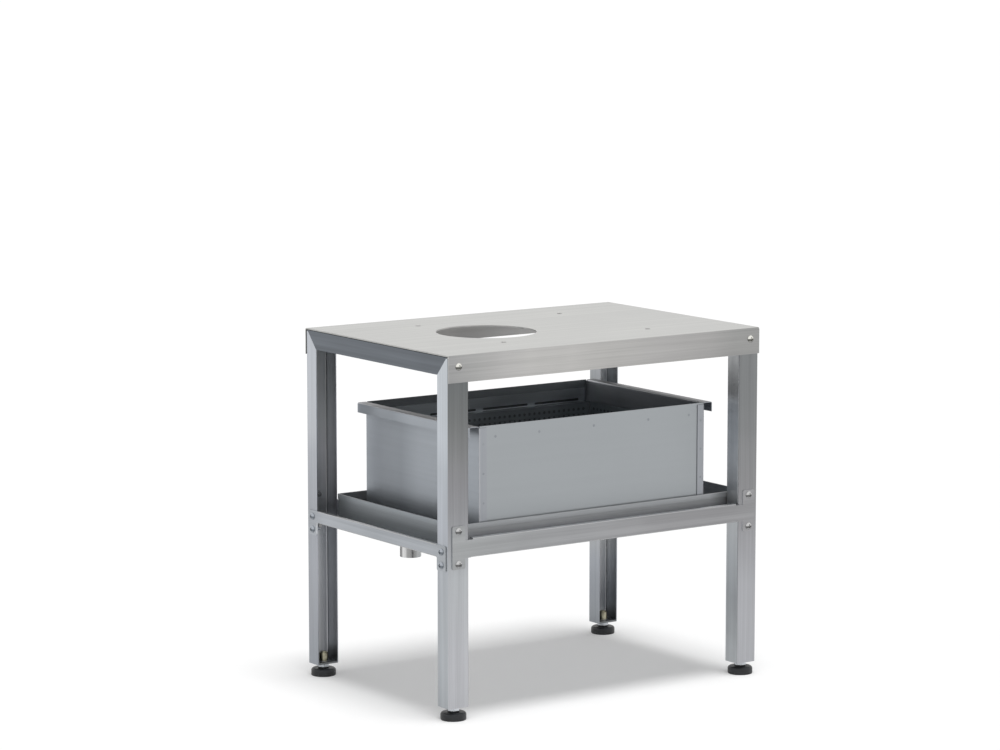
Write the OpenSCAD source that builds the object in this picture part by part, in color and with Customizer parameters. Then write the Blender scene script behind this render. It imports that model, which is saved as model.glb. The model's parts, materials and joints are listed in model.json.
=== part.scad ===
// Low stainless steel stand with a drip tray, a peel box and a strainer.
// The origin lies on the floor under the middle of the top. X runs along the
// stand, Y runs from the front to the back and Z points up.

/* [Overall] */
// Length of the top along X
top_w = 600; // [580:10:760]
// Depth of the top along Y
top_d = 410; // [400:5:520]
// Height from the floor to the top surface
stand_h = 566; // [556:5:701]

/* [Top plate] */
// Thickness of the top sheet
top_t = 2; // [1.5:0.5:3]
// Height of the turned-down front and back edges
top_edge_h = 42; // [34:1:60]
// Inside radius of the bends of the top
top_bend_r = 2; // [1:0.5:4]
// Diameter of the discharge opening
outlet_d = 160; // [80:5:180]
// Distance of the discharge opening to the left of the middle
outlet_shift = 90; // [60:5:120]
// Spacing of the bolt holes in the top along X
bolt_span_x = 280; // [240:10:340]
// Spacing of the bolt holes in the top along Y
bolt_span_y = 240; // [210:10:280]
// Diameter of the bolt holes in the top
bolt_hole_d = 9; // [6.5:0.5:12]

/* [Leg frame] */
// Width of a leg's web, seen from the front
leg_w = 38; // [32:1:46]
// Depth of a leg's side flanges
leg_d = 30; // [28:1:36]
// Thickness of the leg and side rail sheet
frame_t = 1.5; // [1.2:0.1:2.5]
// Inside radius of the bends of the frame
frame_bend_r = 2; // [1:0.5:3]
// Height of the side rails under the top
side_rail_h = 30; // [24:1:40]
// Width of the side rails' top flange
side_rail_in = 30; // [20:1:32]

/* [Shelf] */
// Height of the shelf's underside above the floor
shelf_z = 253; // [201:2:259]
// Thickness of the shelf sheet
shelf_t = 1.5; // [1.2:0.1:2]
// Inside radius of the shelf's bends
shelf_bend_r = 1; // [0.8:0.1:2]
// Height of the front and back rails
front_rail_h = 30; // [24:1:34]
// Height of the side rails of the shelf
end_rail_h = 20; // [16:1:26]
// Width of the return along the top of the front and back rails
front_return = 7; // [5:0.5:9]
// Length of front rail beside a leg where that return is cut away
return_notch = 5; // [3:0.5:12]
// Width of the return along the top of the side rails of the shelf
end_return = 5; // [4:0.5:7]
// Width of a screw ear
ear_w = 24; // [20:1:24]
// Distance from a leg's outer corner to its ears
ear_inset = 6; // [4:0.5:6]
// Height of a front or back ear
front_ear_h = 67; // [62:1:80]
// Height of a side ear
end_ear_h = 40; // [36:1:50]
// Spacing of the two screws in a front or back ear
front_screw_span = 51; // [44:1:54]
// Spacing of the two screws in a side ear
end_screw_span = 21; // [16:1:22]

/* [Drip tray] */
// Height of the drip tray
tray_h = 43; // [36:1:50]
// Thickness of the tray sheet
tray_t = 1.2; // [1:0.1:1.5]
// Height of the hem round the tray's rim
tray_hem_h = 8; // [5:1:12]
// Free length of shelf left of the tray
tray_left_gap = 38; // [10:1:44]
// Outside diameter of the drain spout
spout_d = 33.7; // [21.3:0.1:34]
// Wall of the drain spout
spout_wall = 2; // [1.5:0.1:3]
// Length of the spout below the shelf
spout_drop = 33; // [20:1:50]
// Distance from the tray's left wall to the spout's axis
spout_inset = 27; // [25:1:34]
// Room round the spout in the shelf, for a hose and its clip
spout_room = 13; // [6:1:15]

/* [Peel box] */
// Distance from the end of the top to the end of the peel box
box_end_inset = 81; // [70:1:90]
// Height of the peel box
box_h = 190; // [140:2:194]
// Thickness of the box sheet
box_t = 1.2; // [1:0.1:1.5]
// Width of the end panels' corner tabs
box_tab_w = 14; // [10:1:20]
// How far the lifting lips stand out
lip_out = 17; // [14:1:22]
// Height of the turned-down lifting lips
lip_drop = 16; // [12:1:24]
// Distance from the rim to the strainer ledges
ledge_drop = 36; // [30:1:44]
// Width of the strainer ledges
ledge_w = 14; // [10:1:15]

/* [Strainer] */
// Height of the strainer's base above the floor of the box
strainer_rise = 18; // [10:1:40]
// Thickness of the strainer sheet
strainer_t = 1; // [0.8:0.1:1.5]
// Diameter of the holes in the strainer's base
perf_d = 12; // [8:1:20]
// Spacing of the holes in the strainer's base
perf_pitch = 44; // [36:1:60]

/* [Levelling feet] */
// Distance from the floor to the underside of the legs
foot_h = 20; // [17:0.5:28]
// Diameter of the foot pads
pad_d = 40; // [32:1:50]
// Height of the foot pads
pad_h = 12; // [10:0.5:13]
// Diameter of the hub on a pad
hub_d = 18; // [14:1:24]
// Height of the hub on a pad
hub_h = 2; // [1:0.5:2.5]
// Diameter of the threaded stud
stud_d = 10; // [8:1:12]
// Width across the flats of the foot's hexagon
foot_af = 17; // [15:1:19]
// Height of the stud's end above the leg's end plate
stud_rise = 16; // [15:1:24]

/* [Screws] */
// Diameter of the screws
screw_d = 6; // [4:0.5:6]
// Length of a screw under its head
screw_len = 12; // [9:1:14]
// Diameter of a screw head
head_d = 11.5; // [9:0.5:12]
// Height of a screw head
head_h = 3.6; // [2.5:0.1:4]

/* [Clearances] */
// Gap under a piece that is only set down on another
seat_gap = 0.3; // [0.2:0.05:0.5]
// Radial gap between a stud and what it turns in
thread_gap = 0.05; // [0.02:0.01:0.1]
// Radial gap of a screw in its hole
hole_gap = 0.25; // [0.15:0.05:0.5]
// Gap between the shelf's floor and the legs' edges
leg_gap = 1; // [0.5:0.5:2]
// Gap between the tray and the legs, rails and returns beside it
tray_gap = 2; // [1.5:0.1:3]
// Gap between the front of the peel box and the tray
box_front_gap = 1.8; // [1:0.1:4]
// Gap between the back of the peel box and the tray
box_back_gap = 16; // [2:1:24]
// Gap between the strainer and the box's ends
strainer_gap = 4; // [2:0.5:8]

/* [Hidden] */
$fn = 48;

eps = 1;                                    // how far a cutter passes the face it cuts
corner_ease = 0.3;                          // keeps a corner clear of the bend round it
half_w = top_w / 2;
half_d = top_d / 2;

// Frame
frame_top = stand_h - top_t;                // underside of the top sheet
leg_y = half_d - top_t;                     // outer face of the leg webs
leg_top = frame_top - top_bend_r - corner_ease;  // clear of the top's bend
leg_len = leg_top - foot_h;
frame_r = frame_bend_r + frame_t;           // outside radius of a frame bend
ear_mid = ear_inset + ear_w / 2;            // from a leg's corner to its screws
top_screw_z = stand_h - top_edge_h * 0.42;

// Shelf
shelf_x = half_w + shelf_t;                 // outer face of the shelf's end rails
shelf_y = leg_y + shelf_t;                  // outer face of the shelf's front rail
shelf_r = shelf_bend_r + shelf_t;           // outside radius of a shelf bend
notch_x = half_w - leg_w - leg_gap;         // the floor stops here beside the legs
notch_y = leg_y - leg_d - leg_gap;
shelf_top = shelf_z + shelf_t;              // upper face of the shelf's floor
ear_rise = 2;                               // front ears sit this much above their rail's middle
front_ear_mid_z = shelf_z + front_rail_h / 2 + ear_rise;
end_ear_z = shelf_z + end_rail_h - end_ear_h;
end_ear_mid_z = end_ear_z + (end_ear_h - 1) / 2;
ear_corner_r = 3;

// Drip tray
tray_z = shelf_top + seat_gap;
tray_left = -half_w + tray_left_gap;
tray_right = shelf_x - end_return - tray_gap + tray_t;
tray_y = leg_y - leg_d - tray_gap;          // half of the tray's depth
tray_r = 3;                                 // outside radius of the tray's edges
spout_x = tray_left + spout_inset;
spout_hole_d = spout_d + 2 * spout_room;    // the spout's way through the shelf

// Peel box
box_z = tray_z + tray_t + seat_gap;
box_top = box_z + box_h;
box_w = top_w - 2 * box_end_inset;
box_front = -tray_y + tray_t + box_front_gap;  // outer face of the front tabs
box_back = tray_y - tray_t - box_back_gap;
box_d = box_back - box_front;
box_bend_r = 1.5;
box_r = box_bend_r + box_t;
body_front = box_front + box_t;             // outer face of the front panel
body_back = box_back - box_t;
ledge_z = box_top - ledge_drop;             // upper face of the ledges
ledge_up = 24;                              // height of the ledges' welded leg
drain_hole_d = 30;                          // holes in the box's floor
drain_pitch = box_w / 3.5;

// Strainer
strainer_top = ledge_z + seat_gap + strainer_t;
strainer_z = box_z + box_t + strainer_rise;
strainer_x = box_w / 2 - box_t - strainer_gap;
ledge_gap = 1.5;                            // between the strainer's walls and the ledges
strainer_r = 4;                             // outside radius of its upright edges
rim_notch = 6;                              // the rim stops short of each end
strainer_front = body_front + box_t + ledge_w + ledge_gap;
strainer_back = body_back - box_t - ledge_w - ledge_gap;
strainer_rim = ledge_w - 1;                 // how far the rim reaches over a ledge

// Levelling feet
foot_x = half_w - leg_w / 2;
foot_y = leg_y - leg_d / 2 - frame_t / 2;
end_plate_t = 3;
plate_top = foot_h + end_plate_t;
bush_h = stud_rise - 2;
bush_wall = 2;
stud_bottom = 4;                            // the stud's lower end, inside the pad
hex_bottom = pad_h + hub_h + seat_gap;
hex_top = foot_h - seat_gap;

// Screws and nuts
nut_af = screw_d * 1.6;
nut_h = screw_d * 0.8;
cross_w = head_d * 0.14;                    // width of the cross in a screw head
cross_depth = head_h * 0.45;
dome_ease = 0.6;                            // flattens the dome and leaves the head a short straight side
screw_hole_d = screw_d + 2 * hole_gap;

// Shapes

// Quarter of a bend in the corner left of and below its centre
module bend_2d(r, t) {
    intersection() {
        difference() {
            circle(r + t);
            circle(r);
        }
        translate([-r - t, -r - t])
            square(r + t);
    }
}

// Rectangle from the origin whose two corners at y = 0 are rounded
module cup_2d(w, h, r) {
    translate([0, r])
        square([w, h - r]);
    translate([r, 0])
        square([w - 2 * r, 2 * r]);
    for (x = [r, w - r])
        translate([x, r])
            circle(r);
}

// Folded channel: web along X at y = 0, flanges towards +Y
module channel_2d(w, d, t, r) {
    difference() {
        cup_2d(w, d, r + t);
        translate([t, t])
            cup_2d(w - 2 * t, d, r);
    }
}

// Rectangle from the origin with four rounded corners
module round_2d(w, h, r) {
    translate([0, r])
        square([w, h - 2 * r]);
    translate([r, 0])
        square([w - 2 * r, h]);
    for (x = [r, w - r], y = [r, h - r])
        translate([x, y])
            circle(r);
}

// Folded angle with its outer corner at the origin
module angle_2d(w, h, t, r) {
    translate([r + t, r + t])
        bend_2d(r, t);
    translate([r + t, 0])
        square([w - r - t, t]);
    translate([0, r + t])
        square([t, h - r - t]);
}

// Folded rail: outer face at x = 0, floor at the bottom, return along the top
module rail_2d(h, lip, t, r) {
    translate([r + t, r + t])
        bend_2d(r, t);
    translate([0, r + t])
        square([t, h - 2 * (r + t)]);
    translate([r + t, h - r - t])
        mirror([0, 1])
            bend_2d(r, t);
    translate([r + t, h - t])
        square([lip - r - t, t]);
}

// Extrudes an outline drawn in Y and Z along X, about x = 0
module along_x(len) {
    rotate([90, 0, 90])
        linear_extrude(len, center = true)
            children();
}

// Extrudes an outline drawn in X and Z along Y, about y = 0
module along_y(len) {
    rotate([90, 0, 0])
        linear_extrude(len, center = true)
            children();
}

// Box with rounded bottom and upright edges, from its lowest corner
module basin(w, d, h, r) {
    intersection() {
        translate([w / 2, 0, 0])
            along_x(w)
                cup_2d(d, h, r);
        translate([0, d / 2, 0])
            along_y(d)
                cup_2d(w, h, r);
        linear_extrude(h)
            round_2d(w, d, r);
    }
}

// What is drawn for the front left corner, at the named corner
module at_corner(corner) {
    if (corner == "front_left")
        children();
    if (corner == "front_right")
        mirror([1, 0, 0])
            children();
    if (corner == "back_left")
        mirror([0, 1, 0])
            children();
    if (corner == "back_right")
        rotate([0, 0, 180])
            children();
}

module at_all_corners() {
    for (corner = ["front_left", "front_right", "back_left", "back_right"])
        at_corner(corner)
            children();
}

// Places of the screws at the front left corner, each with the head's seat at the
// origin and the shank along +Z

module at_top_screws() {
    translate([-half_w + ear_mid, -half_d, top_screw_z])
        rotate([-90, 0, 0])
            children();
}

module at_front_ear_screws() {
    for (side = [-1, 1])
        translate([-half_w + ear_mid, -shelf_y, front_ear_mid_z + side * front_screw_span / 2])
            rotate([-90, 0, 0])
                children();
}

module at_end_ear_screws() {
    for (side = [-1, 1])
        translate([-shelf_x, -leg_y + ear_mid, end_ear_mid_z + side * end_screw_span / 2])
            rotate([0, 90, 0])
                children();
}

module screw_hole(reach) {
    translate([0, 0, -eps])
        cylinder(h = reach + eps, d = screw_hole_d);
}

// Domed screw with a cross in its head
module screw() {
    dome_r = (head_d * head_d / 4 + head_h * head_h) / (2 * head_h) + dome_ease;
    difference() {
        union() {
            intersection() {
                translate([0, 0, -head_h])
                    cylinder(h = head_h, d = head_d);
                translate([0, 0, dome_r - head_h])
                    sphere(dome_r);
            }
            cylinder(h = screw_len, d = screw_d);
        }
        for (turn = [0, 90])
            rotate([0, 0, turn])
                translate([-head_d * 0.27, -cross_w / 2, -head_h - eps])
                    cube([head_d * 0.54, cross_w, cross_depth + eps]);
    }
}

// Nut whose lower face lies at the given height above the head's seat
module nut(seat) {
    translate([0, 0, seat])
        difference() {
            cylinder(h = nut_h, d = nut_af / cos(30), $fn = 6);
            translate([0, 0, -eps])
                cylinder(h = nut_h + 2 * eps, d = screw_d + 2 * thread_gap);
        }
}

// Top

module top_plate() {
    color("gainsboro")
        difference() {
            translate([0, -half_d, stand_h])
                mirror([0, 0, 1])
                    along_x(top_w)
                        channel_2d(top_d, top_edge_h, top_t, top_bend_r);
            translate([-outlet_shift, 0, frame_top - eps])
                cylinder(h = top_t + 2 * eps, d = outlet_d, $fn = 96);
            for (x = [-1, 1], y = [-1, 1])
                translate([x * bolt_span_x / 2, y * bolt_span_y / 2, frame_top - eps])
                    cylinder(h = top_t + 2 * eps, d = bolt_hole_d);
            at_all_corners()
                at_top_screws()
                    screw_hole(top_t + eps);
        }
}

// Leg frame

// Ends in Y and Z of the mitre between the front left leg and its side rail
mitre_line = [
    [-leg_y + frame_r, frame_top],
    [-leg_y + leg_d, frame_top - side_rail_h]
];

module leg() {
    color("lightgray")
        difference() {
            translate([-half_w, -leg_y, foot_h])
                linear_extrude(leg_len)
                    channel_2d(leg_w, leg_d, frame_t, frame_bend_r);
            translate([-half_w, 0, 0])
                along_x(leg_w)
                    polygon([
                        mitre_line[0],
                        mitre_line[1],
                        [mitre_line[1].x + eps, mitre_line[1].y],
                        [mitre_line[1].x + eps, frame_top + eps],
                        [mitre_line[0].x, frame_top + eps]
                    ]);
            at_top_screws()
                screw_hole(top_t + frame_t + eps);
            at_front_ear_screws()
                screw_hole(shelf_t + frame_t + eps);
            at_end_ear_screws()
                screw_hole(shelf_t + frame_t + eps);
        }
}

module leg_front_left() { at_corner("front_left") leg(); }
module leg_front_right() { at_corner("front_right") leg(); }
module leg_back_left() { at_corner("back_left") leg(); }
module leg_back_right() { at_corner("back_right") leg(); }

// Angle along the left side, mitred to the two legs' side flanges
module side_rail() {
    color("gray")
        intersection() {
            translate([-half_w, 0, frame_top])
                mirror([0, 0, 1])
                    along_y(2 * leg_y)
                        angle_2d(side_rail_in, side_rail_h, frame_t, frame_bend_r);
            translate([-half_w + side_rail_in / 2, 0, 0])
                along_x(side_rail_in + 2 * eps)
                    polygon([
                        mitre_line[0],
                        mitre_line[1],
                        [-mitre_line[1].x, mitre_line[1].y],
                        [-mitre_line[0].x, mitre_line[0].y]
                    ]);
        }
}

module side_rail_left() { side_rail(); }
module side_rail_right() { mirror([1, 0, 0]) side_rail(); }

// Shelf

// Flat end of a front rail with its ear, at the front left corner
module front_ear() {
    translate([0, -shelf_y + shelf_t / 2, 0])
        along_y(shelf_t) {
            translate([-half_w + ear_inset, front_ear_mid_z - front_ear_h / 2])
                round_2d(ear_w, front_ear_h, ear_corner_r);
            translate([-half_w + ear_mid, shelf_z])
                square([half_w - ear_mid - notch_x + eps, front_rail_h - shelf_r]);
        }
}

// Flat end of an end rail with its ear, at the front left corner
module end_ear() {
    translate([-shelf_x + shelf_t / 2, 0, 0])
        along_x(shelf_t) {
            translate([-leg_y + ear_inset, end_ear_z])
                round_2d(ear_w, end_ear_h, ear_corner_r);
            translate([-leg_y + ear_mid, shelf_z])
                square([leg_y - ear_mid - notch_y + eps, end_rail_h]);
        }
}

module shelf_pan() {
    color("silver")
        difference() {
            union() {
                translate([-notch_x, -shelf_y + shelf_r, shelf_z])
                    cube([2 * notch_x, 2 * (shelf_y - shelf_r), shelf_t]);
                translate([-shelf_x + shelf_r, -notch_y, shelf_z])
                    cube([2 * (shelf_x - shelf_r), 2 * notch_y, shelf_t]);
                for (turn = [0, 180])
                    rotate([0, 0, turn]) {
                        translate([0, -shelf_y, shelf_z])
                            along_x(2 * notch_x)
                                rail_2d(front_rail_h, front_return, shelf_t, shelf_bend_r);
                        translate([-shelf_x, 0, shelf_z])
                            along_y(2 * notch_y)
                                rail_2d(end_rail_h, end_return, shelf_t, shelf_bend_r);
                    }
                at_all_corners() {
                    front_ear();
                    end_ear();
                }
            }
            translate([spout_x, 0, shelf_z - eps])
                cylinder(h = shelf_t + 2 * eps, d = spout_hole_d);
            at_all_corners() {
                at_front_ear_screws()
                    screw_hole(shelf_t + eps);
                at_end_ear_screws()
                    screw_hole(shelf_t + eps);
                translate([-notch_x - eps, -shelf_y - eps, shelf_z + front_rail_h - shelf_r])
                    cube([return_notch + eps, front_return + 2 * eps, shelf_r + eps]);
            }
        }
}

// Drip tray and drain

module drip_tray() {
    color("darkgray")
        difference() {
            union() {
                translate([tray_left, -tray_y, tray_z])
                    basin(tray_right - tray_left, 2 * tray_y, tray_h, tray_r);
                translate([tray_left - tray_t, -tray_y - tray_t, tray_z + tray_h - tray_hem_h])
                    linear_extrude(tray_hem_h)
                        round_2d(tray_right - tray_left + 2 * tray_t, 2 * (tray_y + tray_t), tray_r + tray_t);
            }
            translate([tray_left + tray_t, -tray_y + tray_t, tray_z + tray_t])
                basin(tray_right - tray_left - 2 * tray_t, 2 * (tray_y - tray_t), tray_h, tray_r - tray_t);
            translate([spout_x, 0, tray_z - eps])
                cylinder(h = tray_t + 2 * eps, d = spout_d - 2 * spout_wall);
        }
}

module drain_spout() {
    spout_len = spout_drop + shelf_t + seat_gap;
    color("lightgray")
        translate([spout_x, 0, shelf_z - spout_drop])
            difference() {
                cylinder(h = spout_len, d = spout_d);
                translate([0, 0, -eps])
                    cylinder(h = spout_len + 2 * eps, d = spout_d - 2 * spout_wall);
            }
}

// Peel box

module peel_box_body() {
    color("slategray")
        difference() {
            intersection() {
                translate([0, body_front, box_z])
                    along_x(box_w - 2 * box_t)
                        channel_2d(body_back - body_front, box_h, box_t, box_bend_r);
                translate([-box_w / 2 + box_t, body_front, box_z])
                    linear_extrude(box_h)
                        round_2d(box_w - 2 * box_t, body_back - body_front, box_bend_r + corner_ease);
            }
            for (x = [-1 : 1])
                translate([x * drain_pitch, (body_front + body_back) / 2, box_z - eps])
                    cylinder(h = box_t + 2 * eps, d = drain_hole_d);
        }
}

// Wall, outward lip and its turned-down edge; the wall's outer face is at x = 0
module lip_2d() {
    translate([-box_t, 0])
        square([box_t, box_h - box_r]);
    translate([box_bend_r, box_h - box_r])
        mirror([0, 1])
            bend_2d(box_bend_r, box_t);
    translate([box_bend_r, box_h - box_t])
        square([lip_out - box_bend_r - box_r, box_t]);
    translate([lip_out - box_r, box_h - box_r])
        rotate([0, 0, 180])
            bend_2d(box_bend_r, box_t);
    translate([lip_out - box_t, box_h - lip_drop])
        square([box_t, lip_drop - box_r]);
}

// Right end panel: corner tabs wrap over the front and back panels
module peel_box_end() {
    color("slategray") {
        translate([box_w / 2, box_front, box_z])
            linear_extrude(box_h - box_r)
                rotate([0, 0, 90])
                    channel_2d(box_d, box_tab_w, box_t, box_bend_r);
        translate([box_w / 2, (box_front + box_back) / 2, box_z])
            along_y(box_d - 2 * box_r)
                lip_2d();
    }
}

module peel_box_right_end() { peel_box_end(); }
module peel_box_left_end() { mirror([1, 0, 0]) peel_box_end(); }

// Angle welded inside the panel at the given y, its foot under the strainer's rim
module ledge(y, inward) {
    color("darkgray")
        translate([0, y, ledge_z - box_t])
            along_x(box_w - 2 * box_t - 2 * strainer_gap)
                if (inward > 0)
                    angle_2d(ledge_w, ledge_up, box_t, box_bend_r);
                else
                    mirror([1, 0])
                        angle_2d(ledge_w, ledge_up, box_t, box_bend_r);
}

module strainer_ledge_front() { ledge(body_front + box_t, 1); }
module strainer_ledge_back() { ledge(body_back - box_t, -1); }

// Strainer

module strainer_walls() {
    depth = strainer_back - strainer_front;
    wall_z = strainer_z + strainer_t;
    color("silver")
        difference() {
            union() {
                translate([-strainer_x, strainer_front, wall_z])
                    linear_extrude(strainer_top - wall_z)
                        round_2d(2 * strainer_x, depth, strainer_r);
                translate([-strainer_x + rim_notch, strainer_front - strainer_rim, strainer_top - strainer_t])
                    linear_extrude(strainer_t)
                        round_2d(2 * (strainer_x - rim_notch), depth + 2 * strainer_rim, strainer_r - strainer_t);
            }
            translate([-strainer_x + strainer_t, strainer_front + strainer_t, wall_z - eps])
                linear_extrude(strainer_top - strainer_z + 2 * eps)
                    round_2d(2 * (strainer_x - strainer_t), depth - 2 * strainer_t, strainer_r - strainer_t);
        }
}

module strainer_base() {
    depth = strainer_back - strainer_front;
    plain_edge = 15;
    count_x = floor((strainer_x - plain_edge) / perf_pitch);
    count_y = floor((depth / 2 - plain_edge) / perf_pitch);
    color("silver")
        translate([0, (strainer_front + strainer_back) / 2, strainer_z])
            linear_extrude(strainer_t)
                difference() {
                    translate([-strainer_x, -depth / 2])
                        round_2d(2 * strainer_x, depth, strainer_r);
                    for (i = [-count_x : count_x], j = [-count_y : count_y])
                        translate([i * perf_pitch, j * perf_pitch])
                            circle(d = perf_d, $fn = 24);
                }
}

// Levelling feet, each drawn at the front left corner

module at_foot() {
    translate([-foot_x, -foot_y, 0])
        children();
}

module end_plate() {
    color("gray")
        difference() {
            translate([-half_w + frame_t, -leg_y + frame_t, foot_h])
                linear_extrude(end_plate_t)
                    cup_2d(leg_w - 2 * frame_t, leg_d - frame_t, frame_bend_r + corner_ease);
            at_foot()
                translate([0, 0, foot_h - eps])
                    cylinder(h = end_plate_t + 2 * eps, d = stud_d + 1);
        }
}

module bush() {
    color("silver")
        at_foot()
            translate([0, 0, plate_top])
                difference() {
                    cylinder(h = bush_h, d = stud_d + 2 * bush_wall);
                    translate([0, 0, -eps])
                        cylinder(h = bush_h + 2 * eps, d = stud_d + 2 * thread_gap);
                }
}

module stud() {
    color("silver")
        at_foot()
            translate([0, 0, stud_bottom + seat_gap]) {
                stud_len = plate_top + stud_rise - stud_bottom - seat_gap;
                cylinder(h = stud_len - 1, d = stud_d);
                cylinder(h = stud_len, d = stud_d - 2);
            }
}

module hexagon() {
    color("silver")
        at_foot()
            translate([0, 0, hex_bottom])
                difference() {
                    cylinder(h = hex_top - hex_bottom, d = foot_af / cos(30), $fn = 6);
                    translate([0, 0, -eps])
                        cylinder(h = foot_h, d = stud_d);
                }
}

// Outline of half a pad: a disc with a round shoulder, a smaller round at the floor and a hub
module pad_2d() {
    shoulder = 4;
    toe = 1.5;
    radius = pad_d / 2;
    square([radius - shoulder, pad_h]);
    square([hub_d / 2, pad_h + hub_h]);
    translate([0, toe])
        square([radius, pad_h - toe - shoulder]);
    translate([radius - shoulder, pad_h - shoulder])
        intersection() {
            circle(shoulder);
            square(shoulder);
        }
    square([radius - toe, toe]);
    translate([radius - toe, toe])
        intersection() {
            circle(toe);
            translate([0, -toe])
                square(toe);
        }
}

module pad() {
    color("black")
        at_foot()
            difference() {
                rotate_extrude()
                    pad_2d();
                translate([0, 0, stud_bottom])
                    cylinder(h = pad_h + hub_h, d = stud_d + 2 * thread_gap);
            }
}

module end_plate_front_left() { at_corner("front_left") end_plate(); }
module end_plate_front_right() { at_corner("front_right") end_plate(); }
module end_plate_back_left() { at_corner("back_left") end_plate(); }
module end_plate_back_right() { at_corner("back_right") end_plate(); }
module bush_front_left() { at_corner("front_left") bush(); }
module bush_front_right() { at_corner("front_right") bush(); }
module bush_back_left() { at_corner("back_left") bush(); }
module bush_back_right() { at_corner("back_right") bush(); }
module stud_front_left() { at_corner("front_left") stud(); }
module stud_front_right() { at_corner("front_right") stud(); }
module stud_back_left() { at_corner("back_left") stud(); }
module stud_back_right() { at_corner("back_right") stud(); }
module hexagon_front_left() { at_corner("front_left") hexagon(); }
module hexagon_front_right() { at_corner("front_right") hexagon(); }
module hexagon_back_left() { at_corner("back_left") hexagon(); }
module hexagon_back_right() { at_corner("back_right") hexagon(); }
module pad_front_left() { at_corner("front_left") pad(); }
module pad_front_right() { at_corner("front_right") pad(); }
module pad_back_left() { at_corner("back_left") pad(); }
module pad_back_right() { at_corner("back_right") pad(); }

// Screws and nuts, in groups

module top_screws() {
    color("white")
        at_all_corners()
            at_top_screws()
                screw();
}

module top_nuts() {
    color("silver")
        at_all_corners()
            at_top_screws()
                nut(top_t + frame_t);
}

module front_ear_screws() {
    color("white")
        at_all_corners()
            at_front_ear_screws()
                screw();
}

module front_ear_nuts() {
    color("silver")
        at_all_corners()
            at_front_ear_screws()
                nut(shelf_t + frame_t);
}

module end_ear_screws() {
    color("white")
        at_all_corners()
            at_end_ear_screws()
                screw();
}

module end_ear_nuts() {
    color("silver")
        at_all_corners()
            at_end_ear_screws()
                nut(shelf_t + frame_t);
}

top_plate();
leg_front_left();
leg_front_right();
leg_back_left();
leg_back_right();
side_rail_left();
side_rail_right();
shelf_pan();
drip_tray();
drain_spout();
peel_box_body();
peel_box_left_end();
peel_box_right_end();
strainer_ledge_front();
strainer_ledge_back();
strainer_walls();
strainer_base();
end_plate_front_left();
end_plate_front_right();
end_plate_back_left();
end_plate_back_right();
bush_front_left();
bush_front_right();
bush_back_left();
bush_back_right();
stud_front_left();
stud_front_right();
stud_back_left();
stud_back_right();
hexagon_front_left();
hexagon_front_right();
hexagon_back_left();
hexagon_back_right();
pad_front_left();
pad_front_right();
pad_back_left();
pad_back_right();
top_screws();
top_nuts();
front_ear_screws();
front_ear_nuts();
end_ear_screws();
end_ear_nuts();
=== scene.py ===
import json
import math

import bmesh
import bpy
from mathutils import Matrix, Vector

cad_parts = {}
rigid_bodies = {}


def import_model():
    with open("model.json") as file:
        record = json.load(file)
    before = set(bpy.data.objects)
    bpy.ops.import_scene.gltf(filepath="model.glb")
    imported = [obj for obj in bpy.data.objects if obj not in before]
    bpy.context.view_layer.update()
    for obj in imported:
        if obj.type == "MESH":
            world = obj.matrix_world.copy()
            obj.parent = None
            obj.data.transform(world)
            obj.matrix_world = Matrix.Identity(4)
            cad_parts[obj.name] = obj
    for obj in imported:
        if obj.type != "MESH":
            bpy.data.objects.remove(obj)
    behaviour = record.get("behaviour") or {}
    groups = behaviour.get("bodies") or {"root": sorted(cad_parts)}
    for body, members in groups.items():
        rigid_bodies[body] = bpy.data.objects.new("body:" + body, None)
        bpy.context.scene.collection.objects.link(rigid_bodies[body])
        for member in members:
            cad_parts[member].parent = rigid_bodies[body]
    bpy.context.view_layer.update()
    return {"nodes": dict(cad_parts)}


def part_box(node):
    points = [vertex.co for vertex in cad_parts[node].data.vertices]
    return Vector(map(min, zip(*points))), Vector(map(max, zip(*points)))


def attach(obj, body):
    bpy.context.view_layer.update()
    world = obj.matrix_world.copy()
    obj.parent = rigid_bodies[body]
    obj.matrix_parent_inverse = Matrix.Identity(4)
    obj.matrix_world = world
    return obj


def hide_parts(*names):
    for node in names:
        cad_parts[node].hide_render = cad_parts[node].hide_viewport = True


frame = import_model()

NODES = frame["nodes"]
CORNERS = {"front_left": (-1, -1), "front_right": (1, -1), "back_left": (-1, 1), "back_right": (1, 1)}


class NodeTree:
    """Short calls for building a node tree."""

    def __init__(self, tree):
        self.tree = tree
        tree.nodes.clear()

    def feed(self, socket, value):
        """Links another node's output to a socket, or sets the socket to a plain value."""
        if hasattr(value, "is_linked"):
            self.tree.links.new(value, socket)
        else:
            socket.default_value = value

    def node(self, kind, inputs=None, **settings):
        made = self.tree.nodes.new(kind)
        for key, value in settings.items():
            setattr(made, key, value)
        for key, value in (inputs or {}).items():
            self.feed(made.inputs[key], value)
        return made

    def sum(self, operation, first, second=0.0, clamp=False):
        settings = {"operation": operation, "use_clamp": clamp}
        return self.node("ShaderNodeMath", {0: first, 1: second}, **settings).outputs[0]


# ---- Camera and light, in metres, with the lens in millimetres and angles in degrees

CAMERA_PLACE = (-3.3378, -4.7009, 1.3106)
CAMERA_TILT, CAMERA_TURN = 81.89, -34.86
SENSOR_WIDTH, FOCAL_LENGTH = 36, 130.8
FARTHEST_SEEN = 200

SKY_LEVEL = 0.38      # what the sky gives to matt surfaces, where the eye and mirrors see it at 1
LAMP_LEVEL = 0.65     # what the overhead lamp gives to them
LAMP_WIDTH = 22       # how wide the lamp looks from the stand, which softens the shadow
LAMP_TILT = (7, 0.5)  # round X and Y
LAMP_HEIGHT = 3
FLOOR_HALF = 60
FLOOR_TONE = 0.8
FLOOR_LIFT = 0.21     # keeps the lit floor white to the eye and in reflections


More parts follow.
